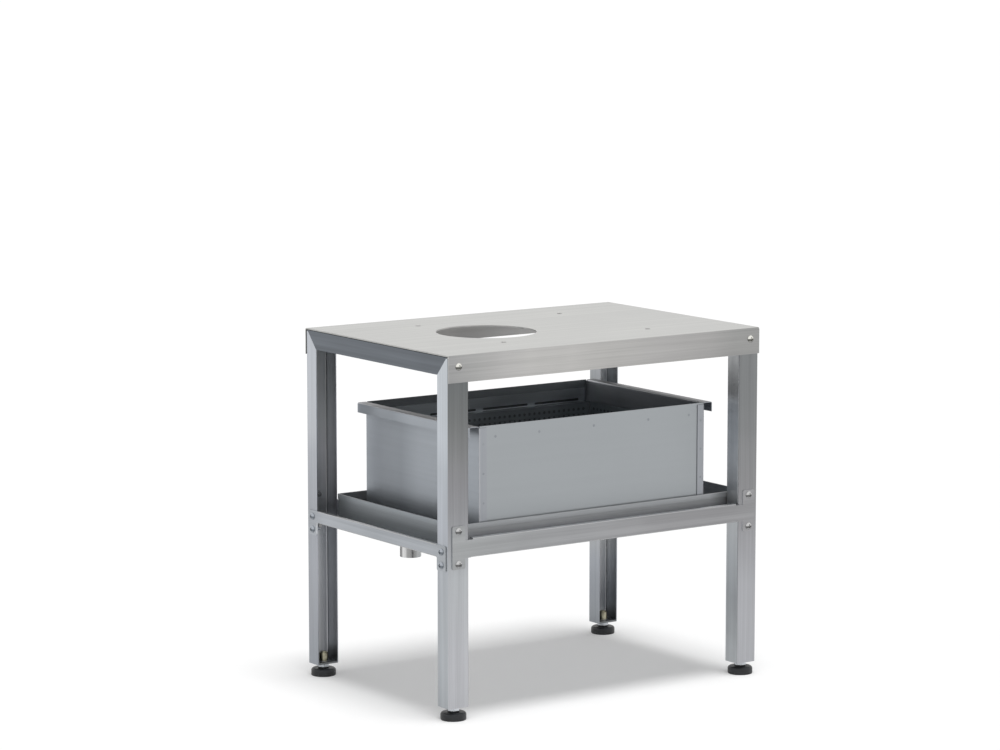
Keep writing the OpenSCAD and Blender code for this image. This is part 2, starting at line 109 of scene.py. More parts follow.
def set_camera():
    """In front of the stand and to its left, higher than its top and looking a little down."""
    lens = bpy.data.cameras.new("camera")
    lens.sensor_width = SENSOR_WIDTH
    lens.lens = FOCAL_LENGTH
    lens.clip_end = FARTHEST_SEEN
    camera = bpy.data.objects.new("camera", lens)
    camera.location = CAMERA_PLACE
    camera.rotation_euler = (math.radians(CAMERA_TILT), 0, math.radians(CAMERA_TURN))
    bpy.context.scene.collection.objects.link(camera)
    bpy.context.scene.camera = camera


def seen_or_mirrored(nodes):
    """1 for rays that look at, mirror or pass to a surface, 0 for those that light one."""
    path = nodes.node("ShaderNodeLightPath")
    total = path.outputs["Is Camera Ray"]
    for other in ("Is Glossy Ray", "Is Transmission Ray"):
        total = nodes.sum("ADD", total, path.outputs[other], clamp=True)
    return total


def set_sky():
    sky = bpy.data.worlds.new("white_studio")
    bpy.context.scene.world = sky
    sky.use_nodes = True
    nodes = NodeTree(sky.node_tree)
    seen = seen_or_mirrored(nodes)
    level = nodes.node("ShaderNodeMapRange", {"Value": seen, "To Min": SKY_LEVEL, "To Max": 1})
    glow = nodes.node("ShaderNodeBackground", {"Color": (1, 1, 1, 1), "Strength": level.outputs[0]})
    nodes.node("ShaderNodeOutputWorld", {"Surface": glow.outputs[0]})


def set_lamp():
    lamp = bpy.data.lights.new("overhead_softbox", "SUN")
    lamp.energy = LAMP_LEVEL * math.pi
    lamp.angle = math.radians(LAMP_WIDTH)
    holder = bpy.data.objects.new("overhead_softbox", lamp)
    holder.location = (0, 0, LAMP_HEIGHT)
    holder.rotation_euler = (math.radians(LAMP_TILT[0]), math.radians(LAMP_TILT[1]), 0)
    holder.visible_glossy = False     # the steel mirrors the white sky, without a burnt spot on the top
    bpy.context.scene.collection.objects.link(holder)


def set_floor():
    mesh = bpy.data.meshes.new("studio_floor")
    corners = [(x * FLOOR_HALF, y * FLOOR_HALF, 0) for x, y in ((-1, -1), (1, -1), (1, 1), (-1, 1))]
    mesh.from_pydata(corners, [], [(0, 1, 2, 3)])
    floor = bpy.data.objects.new("studio_floor", mesh)
    bpy.context.scene.collection.objects.link(floor)
    paper = bpy.data.materials.new("white_paper")
    paper.use_nodes = True
    nodes = NodeTree(paper.node_tree)
    matt = nodes.node("ShaderNodeBsdfDiffuse", {"Color": (FLOOR_TONE, FLOOR_TONE, FLOOR_TONE, 1)})
    level = nodes.sum("MULTIPLY", seen_or_mirrored(nodes), FLOOR_LIFT)
    lift = nodes.node("ShaderNodeEmission", {"Strength": level})
    both = nodes.node("ShaderNodeAddShader", {0: matt.outputs[0], 1: lift.outputs[0]})
    nodes.node("ShaderNodeOutputMaterial", {"Surface": both.outputs[0]})
    mesh.materials.append(paper)


# ---- Finishes

def tone(red, green=None, blue=None):
    """Linear colour of a tone given from 0 to 255 as a screen shows it. A red alone stands for a grey."""
    def linear(level):
        level /= 255
        return level / 12.92 if level <= 0.04045 else ((level + 0.055) / 1.055) ** 2.4
    if green is None:
        green, blue = red, red
    return (linear(red), linear(green), linear(blue), 1.0)


class Finish(NodeTree):
    """One procedural finish, laid out in the object's own coordinates."""

    def __init__(self, name):
        self.material = bpy.data.materials.new(name)
        self.material.use_nodes = True
        super().__init__(self.material.node_tree)
        self.surface = self.node("ShaderNodeBsdfPrincipled")
        self.node("ShaderNodeOutputMaterial", {"Surface": self.surface.outputs[0]})
        self.coordinates = self.node("ShaderNodeTexCoord")
        self.place = self.coordinates.outputs["Object"]

    def dress(self, colour, roughness, metallic=1.0):
        for name, value in (("Base Color", colour), ("Metallic", metallic), ("Roughness", roughness)):
            self.feed(self.surface.inputs[name], value)

    def bump(self, height, strength, distance):
        made = self.node("ShaderNodeBump", {"Strength": strength, "Distance": distance, "Height": height})
        self.feed(self.surface.inputs["Normal"], made.outputs[0])

    def spread(self, value, low, high, to_low, to_high):
        """The value moved from one range to another, and kept within it."""
        given = dict(enumerate((value, low, high, to_low, to_high)))
        return self.node("ShaderNodeMapRange", given).outputs[0]

    def share(self, value, low, high):
        """0 where the value is low or less, 1 where it is high or more."""
        return self.spread(value, low, high, 0.0, 1.0)

    def swing(self, noise, to_low, to_high):
        """A noise moved to a range. Its own values lie mostly between 0.3 and 0.7."""
        return self.spread(noise, 0.3, 0.7, to_low, to_high)

    def noise(self, stretch, detail=2.0, distortion=0.0):
        """Noise whose lumps are 1/stretch metres long, along all axes or along each."""
        if not isinstance(stretch, tuple):
            stretch = (stretch, stretch, stretch)
        turned = self.node("ShaderNodeMapping", {"Vector": self.place, "Scale": stretch})
        return self.node("ShaderNodeTexNoise", {"Vector": turned.outputs[0], "Scale": 1.0, "Detail": detail,
                                                "Distortion": distortion}).outputs[0]

    def blend(self, share, first, second, blend_type="MIX"):
        """Colour between two, by share. The mixing node takes colours at its sockets 6 and 7."""
        settings = {"data_type": "RGBA", "blend_type": blend_type}
        return self.node("ShaderNodeMix", {0: share, 6: first, 7: second}, **settings).outputs[2]

    def between(self, share, first, second):
        """Value between two, by share. The mixing node takes values at its sockets 2 and 3."""
        return self.node("ShaderNodeMix", {0: share, 2: first, 3: second}, data_type="FLOAT").outputs[0]

    def scaled(self, colour, factor):
        """Colour times a value."""
        grey = self.node("ShaderNodeCombineColor", {0: factor, 1: factor, 2: factor})
        return self.blend(1.0, colour, grey.outputs[0], "MULTIPLY")

    def ramp(self, share, stops):
        """Colour that follows (place, colour) stops, with places from 0 to 1."""
        made = self.node("ShaderNodeValToRGB", {0: share})
        elements = made.color_ramp.elements
        elements[0].position, elements[0].color = stops[0]
        elements[1].position, elements[1].color = stops[-1]
        for place, colour in stops[1:-1]:
            elements.new(place).color = colour
        return made.outputs[0]

    def along(self, axis):
        """The place on an axis, in metres."""
        return self.node("ShaderNodeSeparateXYZ", {0: self.place}).outputs["XYZ".index(axis)]

    def facing(self, axis):
        """How far the surface faces along an axis, from -1 to 1."""
        normal = self.coordinates.outputs["Normal"]
        return self.node("ShaderNodeSeparateXYZ", {0: normal}).outputs["XYZ".index(axis)]

    def faces(self, axis, low=0.35, high=0.65):
        """1 on faces square to an axis, 0 on the others, soft round the bends."""
        return self.share(self.sum("ABSOLUTE", self.facing(axis)), low, high)

    def inward(self, well_inside=-0.10, least=-0.04):
        """1 on upright faces that look towards the middle of the stand, 0 on all others."""
        x, y = (self.sum("MULTIPLY", self.along(axis), self.facing(axis)) for axis in "XY")
        return self.spread(self.sum("ADD", x, y), well_inside, least, 1.0, 0.0)

    def bends(self, rounded=0.80, flat=0.95):
        """1 on the rounded bends between faces that are square to an axis."""
        x, y, z = (self.sum("ABSOLUTE", self.facing(axis)) for axis in "XYZ")
        most = self.sum("MAXIMUM", x, self.sum("MAXIMUM", y, z))
        return self.spread(most, rounded, flat, 1.0, 0.0)


GRAIN = {"X": (7, 900, 900), "Y": (900, 7, 900), "Z": (900, 900, 7)}
STREAK = {"X": (1.6, 110, 110), "Y": (110, 1.6, 110), "Z": (110, 110, 1.6)}
SQUARE_ON = (0.85, 0.98)     # a sheet's tones change on its bends, between these


def brushed_steel(name, colour, grain, cross_faces=None, cross_grain=None, roughness=0.36, streaks=0.10,
                  clouds=0.07, flecks=0.07, scratch=0.25, metallic=1.0):
    """Ground stainless sheet. Faces square to cross_faces have their own grain. The colour is a tone, or a
    function of the finish that returns one."""
    finish = Finish(name)
    fine = finish.noise(GRAIN[grain], detail=3)
    wide = finish.noise(STREAK[grain])
    if cross_faces:
        there = finish.faces(cross_faces)
        fine = finish.between(there, fine, finish.noise(GRAIN[cross_grain], detail=3))
        wide = finish.between(there, wide, finish.noise(STREAK[cross_grain]))
    cloud = finish.noise(6, distortion=0.4)
    light = finish.swing(wide, 1 - streaks, 1 + streaks)
    for pattern, share in ((fine, flecks), (cloud, clouds)):
        light = finish.sum("MULTIPLY", light, finish.swing(pattern, 1 - share, 1 + share))
    base = colour(finish) if callable(colour) else colour
    rough = finish.sum("ADD", finish.spread(fine, 0.25, 0.75, roughness - 0.05, roughness + 0.05),
                       finish.swing(cloud, -0.03, 0.03))
    finish.dress(finish.scaled(base, light), rough, metallic)
    finish.bump(fine, strength=scratch, distance=0.0002)
    return finish.material


def painted_light_along(axis, *stops):
    """Painted light and shade along an axis. A stop is a place in metres and a tone's red, green and blue."""
    first, last = stops[0][0], stops[-1][0]
    shares = [((place - first) / (last - first), tone(*shade)) for place, *shade in stops]

    def colour(finish):
        return finish.ramp(finish.share(finish.along(axis), first, last), shares)
    return colour


def painted_shade_along(axis, start, end, share, tint):
    """Painted shade: a colour that falls to a share of itself between two places on an axis."""
    def colour(finish):
        return finish.scaled(tint(finish), finish.spread(finish.along(axis), start, end, 1.0, share))
    return colour


def painted_light_by_face(side, front, inside=None, level=None, bend=None):
    """Painted light and shade of folded sheet, a tone by the way each face looks: its faces towards X, towards Y
    and towards the middle, its level faces and bends.
    """
    def colour(finish):
        made = [tint(finish) if callable(tint) else tint for tint in (side, front, inside, level, bend)]
        picked = finish.blend(finish.faces("X", *SQUARE_ON), made[1], made[0])
        if inside:
            picked = finish.blend(finish.inward(), picked, made[2])
        if level:
            picked = finish.blend(finish.faces("Z", *SQUARE_ON), picked, made[3])
        if bend:
            picked = finish.blend(finish.bends(), picked, made[4])
        return picked
    return colour


def black_rubber():
    finish = Finish("moulded_black_rubber")
    dust = finish.noise((60, 60, 120), detail=3)
    colour = finish.blend(finish.share(dust, 0.4, 0.75), tone(16, 18, 21), tone(38, 41, 45))
    finish.dress(colour, finish.swing(dust, 0.38, 0.56), metallic=0.0)
    finish.bump(finish.noise(900), strength=0.3, distance=0.0003)
    return finish.material


def bright_metal(name, low, high, roughness):
    """Small turned or pressed fittings, plated or polished."""
    finish = Finish(name)
    fine = finish.noise(700)
    colour = finish.blend(finish.share(finish.noise(90), 0.35, 0.7), high, low)
    finish.dress(colour, finish.swing(fine, roughness - 0.06, roughness + 0.08))
    finish.bump(fine, strength=0.15, distance=0.0001)
    return finish.material


def painted_dark_opening(name, low, high):
    """Painted shade for what is seen through a slot or a hole: the unlit steel behind it."""
    finish = Finish(name)
    cloud = finish.noise((120, 400, 400), detail=3)
    colour = finish.blend(finish.share(cloud, 0.35, 0.65), low, high)
    finish.dress(colour, finish.swing(cloud, 0.5, 0.7), metallic=0.0)
    return finish.material


def weld_metal():
    """Stainless filler with its straw and blue tint along the seam."""
    finish = Finish("weld_metal")
    grain = finish.noise(1500)
    colour = finish.blend(finish.share(finish.noise(140), 0.35, 0.65), tone(148, 146, 138), tone(118, 122, 132))
    finish.dress(colour, finish.swing(grain, 0.3, 0.5))
    finish.bump(grain, strength=0.2, distance=0.0002)
    return finish.material


def polished_screw(name, crown_highlight, shade, foot, roughness=0.18):
    """Pan heads with painted reflections: a bright crown, a dark band under it for the floor's shadow
    they would mirror, and a lighter foot.
    """
    finish = Finish(name)
    upward = finish.share(finish.facing("Z"), -1.0, 1.0)
    colour = finish.ramp(upward, ((0.22, foot), (0.33, shade), (0.48, shade), (0.58, crown_highlight)))
    finish.dress(colour, finish.swing(finish.noise(500), roughness - 0.06, roughness + 0.06))
    return finish.material


PIPE_PAINTED_REFLECTIONS = ((0.06, 112), (0.16, 212), (0.26, 206), (0.36, 150), (0.56, 142), (0.66, 128),
                (0.85, 168, 170, 171))
PIPE_TURN = (0.82, 0.57)     # the painted reflections are counted from the pipe's back left round to its front right


def drain_pipe_painted_reflections(finish):
    """Painted reflections down the pipe, light and dark bands by the way its wall faces."""
    x, y = (finish.sum("MULTIPLY", finish.facing(axis), part) for axis, part in zip("XY", PIPE_TURN))
    across = finish.share(finish.sum("SUBTRACT", x, y), -1.0, 1.0)
    return finish.ramp(across, [(place, tone(*shade)) for place, *shade in PIPE_PAINTED_REFLECTIONS])


# The tones of the legs' webs, which face the front and the back, of their flanges and inner faces, and of the
# other sheets. Apart from the plain box and strainer sheet, they are painted light and shade: lighter and darker
# along each part and from leg to leg where it is lit, shaded or mirrors what is near it, with painted highlights
# in their light bands and painted shade on the legs' bends.

# The webs are painted darker towards the top: painted shade.
LEG_WEB = {
    "left": painted_light_along("Z", (0.04, 186, 187, 191), (0.10, 181, 182, 186), (0.222, 176, 179, 182),
                         (0.30, 154, 155, 158), (0.366, 141, 141, 144), (0.414, 129, 130, 131),
                         (0.462, 120, 122, 122), (0.53, 110, 113, 114)),
    "right": painted_light_along("Z", (0.05, 168, 169, 173), (0.10, 171, 172, 176), (0.15, 168, 169, 173),
                          (0.246, 150, 150, 153), (0.31, 141, 141, 143), (0.44, 131, 133, 134),
                          (0.54, 128, 130, 131))}
# The flanges' light bands, such as the front right one near 0.32 m, are painted highlights.
LEG_FLANGE = {
    "front_left": painted_light_along("Z", (0.05, 168, 172, 176), (0.16, 170, 174, 178), (0.25, 168, 172, 177),
                               (0.30, 177, 181, 188), (0.39, 177, 182, 188), (0.44, 189, 194, 200),
                               (0.52, 192, 197, 202)),
    "front_right": painted_light_along("Z", (0.045, 195, 199, 202), (0.07, 180, 184, 187), (0.13, 160, 164, 168),
                                (0.19, 166, 170, 174), (0.25, 174, 177, 180), (0.29, 204, 206, 208),
                                (0.32, 246, 247, 248), (0.38, 212, 214, 216), (0.44, 193, 195, 197),
                                (0.54, 204, 206, 208)),
    "back_left": painted_light_along("Z", (0.04, 147, 151, 157), (0.08, 155, 158, 164), (0.14, 160, 163, 169),
                              (0.268, 164, 167, 173), (0.30, 170, 173, 179), (0.365, 173, 176, 182),
                              (0.40, 183, 186, 191), (0.53, 188, 192, 198)),
    "back_right": painted_light_along("Z", (0.04, 149, 153, 158), (0.07, 147, 151, 157), (0.10, 150, 154, 160),
                               (0.13, 158, 162, 168), (0.16, 166, 169, 172), (0.20, 160, 161, 164),
                               (0.44, 150, 153, 156), (0.49, 178, 181, 185), (0.54, 182, 185, 189))}
FRONT_LEG_INSIDE = painted_light_along("Z", (0.05, 176, 178, 181), (0.54, 150, 152, 155))
# The back right leg's inside is painted light, brightest near its foot and at its top.
LEG_INSIDE = {
    "front_left": FRONT_LEG_INSIDE,
    "front_right": FRONT_LEG_INSIDE,
    "back_left": painted_light_along("Z", (0.05, 192, 192, 193), (0.222, 183, 185, 187), (0.30, 157, 158, 159),
                              (0.366, 180, 180, 181), (0.42, 163, 164, 164), (0.462, 142, 143, 143),
                              (0.53, 125, 127, 127)),
    "back_right": painted_light_along("Z", (0.028, 252, 252, 253), (0.042, 190, 191, 194), (0.06, 180, 181, 184),
                               (0.10, 209, 209, 210), (0.15, 230, 230, 229), (0.30, 200, 200, 200),
                               (0.44, 220, 221, 222), (0.49, 246, 247, 249), (0.54, 250, 251, 252))}
LEG_BEND_PAINTED_SHADE = tone(96, 98, 101)
LEG_EDGE_Y = 0.174     # nearer the middle than this, a leg has only the cut edges of its flanges
EDGE_SOFTNESS = 0.0005
TOP_FRONT = painted_light_along("X", (-0.30, 157, 157, 157), (-0.25, 166, 166, 165), (-0.20, 181, 180, 179),
                         (-0.15, 188, 187, 185), (-0.08, 184, 183, 181), (0.00, 175, 174, 172),
                         (0.10, 170, 169, 168), (0.20, 165, 164, 163), (0.25, 154, 154, 153),
                         (0.30, 153, 153, 152))
SHELF_FRONT = painted_light_along("X", (-0.28, 160, 162, 163), (-0.10, 154, 155, 157), (0.10, 152, 152, 154),
                           (0.30, 151, 151, 153))
SHELF_SIDE = painted_light_along("Y", (-0.20, 162, 166, 170), (-0.16, 166, 170, 175), (0.00, 160, 164, 169),
                          (0.15, 172, 176, 181), (0.20, 165, 169, 174))
TRAY_SIDE = painted_light_along("Z", (0.262, 145, 150, 154), (0.277, 151, 156, 160), (0.296, 174, 180, 185))
TRAY_WALL = painted_light_along("Z", (0.262, 153, 155, 159), (0.270, 163, 165, 169), (0.280, 186, 188, 192),
                         (0.287, 198, 200, 202), (0.291, 190, 193, 196))
TRAY_FRONT_PAINTED_SHADE = painted_shade_along("X", start=0.228, end=0.262, share=0.4, tint=TRAY_WALL)     # painted shade where it mirrors the leg
BOX_SHEET = tone(164, 168, 171)
BOX_END = painted_light_along("Y", (-0.16, 161, 166, 172), (-0.05, 165, 170, 176), (0.00, 167, 172, 178),
                       (0.05, 158, 163, 169), (0.10, 174, 179, 185), (0.14, 172, 177, 183))
BOX_TABS = painted_light_along("X", (-0.22, 160, 163, 168), (0.22, 166, 169, 174))
BOX_END_INSIDE = painted_light_along("Y", (-0.16, 116, 119, 124), (-0.09, 118, 121, 126), (0.00, 121, 124, 129),
                              (0.06, 128, 131, 136), (0.105, 152, 155, 160), (0.14, 184, 187, 192),
                              (0.158, 172, 175, 180))
BOX_INSIDE = painted_light_along("X", (-0.20, 111, 115, 119), (-0.05, 115, 119, 123), (0.08, 121, 126, 130),
                          (0.21, 116, 121, 125))
STRAINER_SHEET = tone(165, 171, 176)


def leg_painted_light(outer, inner, edge):
    """Painted light and shade on a leg: one tone on upright faces that look outwards, another on those that look
    towards the middle, with painted shade dulling the bends between those, and a third on the cut edges."""
    def colour(finish):
        painted_dark_bends = finish.blend(finish.bends(), inner(finish), LEG_BEND_PAINTED_SHADE)
        cut = finish.spread(finish.sum("ABSOLUTE", finish.along("Y")), LEG_EDGE_Y - EDGE_SOFTNESS,
                            LEG_EDGE_Y + EDGE_SOFTNESS, 1.0, 0.0)
        return finish.blend(finish.inward(), outer(finish), finish.blend(cut, painted_dark_bends, edge(finish)))
    return colour


def sheet_finishes():
    """The finishes of the sheets and the pipe, by node, apart from the legs, with their painted light and shade.
    """
    # the top gets painted light: lighter on its level faces, its front darker towards the ends
    top = brushed_steel("top_sheet_ground_along",
                        painted_light_by_face(tone(176, 176, 174), TOP_FRONT, level=tone(188, 188, 185)),
                        "X", roughness=0.34, streaks=0.06)
    # the side rails' dark tone is painted shade, for the shade under the top's edge
    rail = brushed_steel("side_rail_ground_along", tone(104, 109, 115), "Y", streaks=0.16)
    # painted light on the shelf: lighter inside, on its level faces and on its bends
    shelf = brushed_steel("shelf_sheet",
                          painted_light_by_face(SHELF_SIDE, SHELF_FRONT, inside=tone(222, 224, 226),
                                      level=tone(214, 216, 218), bend=tone(190, 191, 192)),
                          "X", "X", "Y")
    # painted shade on the tray: darker low on its walls, inside, and towards the right leg
    tray = brushed_steel("tray_sheet",
                         painted_light_by_face(TRAY_SIDE, TRAY_FRONT_PAINTED_SHADE, inside=tone(137, 139, 142),
                                     level=tone(160, 162, 165)),
                         "X", "X", "Y", roughness=0.5, streaks=0.05, metallic=0.4)
    # the pipe's colour is painted reflections
    pipe = brushed_steel("drawn_pipe", drain_pipe_painted_reflections, "Z", roughness=0.22, streaks=0.06, clouds=0.02,
                         scratch=0.1)
    # painted shade inside the box
    body = brushed_steel("box_sheet_ground_along", painted_light_by_face(BOX_SHEET, BOX_SHEET, inside=BOX_INSIDE),
                         "X", roughness=0.46, streaks=0.006, clouds=0.025, flecks=0.015, scratch=0.04)
    # painted light on the box's ends: lighter bends, darker level faces, lighter and darker along the inside
    end = brushed_steel("box_end_sheet",
                        painted_light_by_face(BOX_END, BOX_TABS, inside=BOX_END_INSIDE, level=tone(150, 150, 152),
                                    bend=tone(202, 203, 206)),
                        "Z", "X", "Y", roughness=0.48, streaks=0.03, clouds=0.04, flecks=0.04, scratch=0.08)
    # painted shade on the strainer's bends
    strainer = brushed_steel("strainer_sheet",
                             painted_light_by_face(STRAINER_SHEET, STRAINER_SHEET, bend=tone(92, 95, 98)),
                             "X", streaks=0.05)
    return {"top_plate": top, "side_rail_left": rail, "side_rail_right": rail, "shelf_pan": shelf,
            "drip_tray": tray, "drain_spout": pipe, "peel_box_body": body, "peel_box_left_end": end,
            "peel_box_right_end": end, "strainer_ledge_front": strainer, "strainer_ledge_back": strainer,
            "strainer_walls": strainer, "strainer_base": strainer}


def screw_finishes():
    """The finishes of the screws and their nuts, by node."""
    # each screw finish paints its reflections by which way the head's faces look
    heads = {"top": polished_screw("top_screw", tone(236, 235, 228), tone(92, 92, 88), tone(150, 150, 147)),
             "front_ear": polished_screw("front_ear_screw", tone(198), tone(98), tone(160, 161, 162)),
             "end_ear": polished_screw("end_ear_screw", tone(172, 177, 184), tone(112, 118, 124),
                                       tone(146, 150, 156), roughness=0.34)}
    return {group + part: screw for group, screw in heads.items() for part in ("_screws", "_nuts")}


def leg_finishes():
    """The finishes of each leg, its end plate and its levelling foot, by node."""
    plate = brushed_steel("mild_plate", tone(120, 122, 124), "X", roughness=0.5)
    brass = bright_metal("brass_bush", tone(118, 113, 94), tone(178, 174, 152), roughness=0.3)
    zinc = bright_metal("zinc_hexagon", tone(172, 176, 180), tone(212, 216, 220), roughness=0.26)
    rubber = black_rubber()
    finish_by_node = {}
    for corner in CORNERS:
        web = LEG_WEB[corner.split("_")[1]]
        # painted light and shade on each leg: its tones on flange, web, inside and cut edges, painted shade on
        # the bends
        tones = painted_light_by_face(LEG_FLANGE[corner], leg_painted_light(web, LEG_INSIDE[corner], LEG_FLANGE[corner]))
        finish_by_node["leg_" + corner] = brushed_steel("leg_channel_" + corner, tones, "Z", streaks=0.07)
        finish_by_node["end_plate_" + corner] = plate
        finish_by_node["bush_" + corner] = brass
        finish_by_node["stud_" + corner] = brass
        finish_by_node["hexagon_" + corner] = zinc
        finish_by_node["pad_" + corner] = rubber
    return finish_by_node


def set_finishes():
    """Gives every carried-over node its finish."""
    finish_by_node = {**sheet_finishes(), **screw_finishes(), **leg_finishes()}
    for name, finish in finish_by_node.items():
        mesh = NODES[name].data
        mesh.materials.clear()
        mesh.materials.append(finish)
    return finish_by_node


# ---- Sizes of the small repeated detail

HOLE_PITCH = 0.01
STRAINER_RIM, STRAINER_SKIN = 0.013, 0.001
PLAIN_TOP, PLAIN_FOOT, PLAIN_ENDS = 0.011, 0.003, 0.016     # bands of the strainer's walls without holes
DISC_LIFT = 0.00006                                         # holds the holes' discs off the sheet

PANEL_MARKS_X = (-0.188, -0.105, 0.000, 0.107, 0.188)
PANEL_MARK_RADIUS, PANEL_MARKS_UP = 0.0022, 0.0195          # up from the ledges' lower edge
TAB_MARKS_IN, TAB_MARKS_UP = 0.0066, 0.024                  # in from the box's ends and up from its underside
MARK_LIFT = 0.0001                                          # holds the marks off the sheet

SLOT_COUNT, SLOT_PITCH, SLOTS_UP = 4, 0.104, 0.0054         # up from the ledges' lower edge
LEDGE_FACE = 0.00125                                        # the ledges' sheet, and a hair more

LEG_SHEET, LEG_MITRE = 0.0015, 0.0035                       # a seam starts this far in from the leg's corner
DRAIN_BEAD_WIDTH, DRAIN_BEAD_RIPPLE, DRAIN_BEAD_SUNK = 0.0026, 0.0014, 0.0003


# ---- Patterns built with geometry nodes

class Pattern(NodeTree):
    """A geometry node tree with named sizes, run on an empty mesh. A size that mesh() isn't given keeps the value
    it has here."""

    def __init__(self, name, **sizes):
        super().__init__(bpy.data.node_groups.new(name, "GeometryNodeTree"))
        face = self.tree.interface
        face.new_socket("Geometry", in_out="OUTPUT", socket_type="NodeSocketGeometry")
        face.new_socket("Start", in_out="INPUT", socket_type="NodeSocketGeometry")
        self.ids = {}
        for key, value in sizes.items():
            kind = "NodeSocketInt" if isinstance(value, int) else "NodeSocketFloat"
            socket = face.new_socket(key, in_out="INPUT", socket_type=kind)
            socket.default_value = value
            self.ids[key] = socket.identifier
        socket = face.new_socket("finish", in_out="INPUT", socket_type="NodeSocketMaterial")
        self.ids["finish"] = socket.identifier
        self.given = self.node("NodeGroupInput").outputs

    def vector(self, x=0.0, y=0.0, z=0.0):
        return self.node("ShaderNodeCombineXYZ", {0: x, 1: y, 2: z}).outputs[0]

    def joined(self, *parts):
        made = self.node("GeometryNodeJoinGeometry")
        for part in parts:
            self.feed(made.inputs[0], part)
        return made.outputs[0]

    def half(self, size):
        return self.sum("MULTIPLY", self.given[size], 0.5)

    def circle(self, resolution, radius):
        given = {"Resolution": resolution, "Radius": radius}
        return self.node("GeometryNodeCurvePrimitiveCircle", given).outputs[0]

    def rectangle(self, width, height):
        given = {"Width": width, "Height": height}
        return self.node("GeometryNodeCurvePrimitiveQuadrilateral", given).outputs[0]

    def swept(self, curve, profile):
        given = {"Curve": curve, "Profile Curve": profile, "Fill Caps": True}
        return self.node("GeometryNodeCurveToMesh", given).outputs[0]

    def merged(self, geometry, distance=0.00002):
        given = {"Geometry": geometry, "Distance": distance}
        return self.node("GeometryNodeMergeByDistance", given).outputs[0]

    def row(self, count, pitch):
        """Points along X from the origin."""
        given = {"Count": count, "Offset": self.vector(x=pitch)}
        return self.node("GeometryNodeMeshLine", given).outputs[0]

    def grid(self):
        """Points in rows across X and Y, centred on the origin."""
        across, down, pitch = self.given["across"], self.given["down"], self.given["pitch"]
        width, depth = (self.sum("MULTIPLY", pitch, self.sum("SUBTRACT", count, 1.0)) for count in (across, down))
        given = {"Size X": width, "Size Y": depth, "Vertices X": across, "Vertices Y": down}
        return self.node("GeometryNodeMeshGrid", given).outputs[0]

    def weld_drop(self):
        """A ball one metre across, to be scaled."""
        given = {"Segments": 10, "Rings": 6, "Radius": 0.5}
        return self.node("GeometryNodeMeshUVSphere", given).outputs[0]

    def copies(self, points, instance, **others):
        """The instance on every point. Others are its rotation and its scale."""
        given = {"Points": points, "Instance": instance, **others}
        return self.node("GeometryNodeInstanceOnPoints", given).outputs[0]

    def real(self, geometry):
        return self.node("GeometryNodeRealizeInstances", {"Geometry": geometry}).outputs[0]

    def close(self, geometry):
        given = {"Geometry": self.real(geometry), "Material": self.given["finish"]}
        dressed = self.node("GeometryNodeSetMaterial", given)
        self.node("NodeGroupOutput", {0: dressed.outputs[0]})
        return self

    def mesh(self, finish, **sizes):
        """The pattern's plain mesh, for these sizes."""
        maker = bpy.data.objects.new("maker", bpy.data.meshes.new("start"))
        bpy.context.scene.collection.objects.link(maker)
        run = maker.modifiers.new("pattern", "NODES")
        run.node_group = self.tree
        for key, value in dict(sizes, finish=finish).items():
            run[self.ids[key]] = value
        depsgraph = bpy.context.evaluated_depsgraph_get()
        made = bpy.data.meshes.new_from_object(maker.evaluated_get(depsgraph), depsgraph=depsgraph)
        bpy.data.objects.remove(maker)
        made.materials.clear()
        made.materials.append(finish)
        made.polygons.foreach_set("material_index", [0] * len(made.polygons))
        return made


def threaded_rod_pattern():
    """Core with a ridge wound round it, standing on the origin."""
    p = Pattern("threaded_rod", length=0.03, radius=0.005, pitch=0.0015, depth=0.0009)
    length, pitch, depth = p.given["length"], p.given["pitch"], p.given["depth"]
    inner = p.sum("SUBTRACT", p.given["radius"], depth)
    core = p.node("GeometryNodeCurvePrimitiveLine", {"Start": (0, 0, 0), "End": p.vector(z=length)})
    rod = p.swept(core.outputs[0], p.circle(resolution=24, radius=inner))
    wound = p.sum("SUBTRACT", length, pitch)
    helix = p.node("GeometryNodeCurveSpiral", {"Resolution": 20, "Rotations": p.sum("DIVIDE", wound, pitch),
                                               "Start Radius": inner, "End Radius": inner, "Height": wound})
    lifted = p.node("GeometryNodeTransform", {"Geometry": helix.outputs[0],
                                              "Translation": p.vector(z=p.half("pitch"))})
    thread = p.swept(lifted.outputs[0], p.circle(resolution=4, radius=depth))
    return p.close(p.joined(rod, thread))


def perforated_sheet_pattern():
    """Flat sheet of square tiles, each with a round hole, centred on the origin and lying on z = 0."""
    p = Pattern("perforated_sheet", pitch=0.01, hole=0.0055, thickness=0.001, across=10, down=10)
    pitch = p.given["pitch"]
    outline = p.joined(p.rectangle(pitch, pitch), p.circle(resolution=10, radius=p.half("hole")))
    tile = p.node("GeometryNodeFillCurve", {0: outline})
    sheet = p.merged(p.real(p.copies(p.grid(), tile.outputs[0])))
    raised = p.node("GeometryNodeExtrudeMesh", {"Mesh": sheet, "Offset": (0, 0, 1), "Individual": False,
                                                "Offset Scale": p.given["thickness"]})
    under = p.node("GeometryNodeFlipFaces", {0: sheet})
    return p.close(p.merged(p.joined(raised.outputs[0], under.outputs[0])))


def spot_weld_pattern():
    """Row of shallow round electrode marks along X, facing up from z = 0."""
    p = Pattern("spot_weld_row", count=4, pitch=0.046, radius=0.0018, rise=0.0001)
    radius = p.given["radius"]
    mark = p.node("GeometryNodeMeshCone", {"Vertices": 20, "Radius Top": p.sum("MULTIPLY", radius, 0.55),
                                           "Radius Bottom": radius, "Depth": p.given["rise"]})
    return p.close(p.copies(p.row(p.given["count"], p.given["pitch"]), mark.outputs[0]))


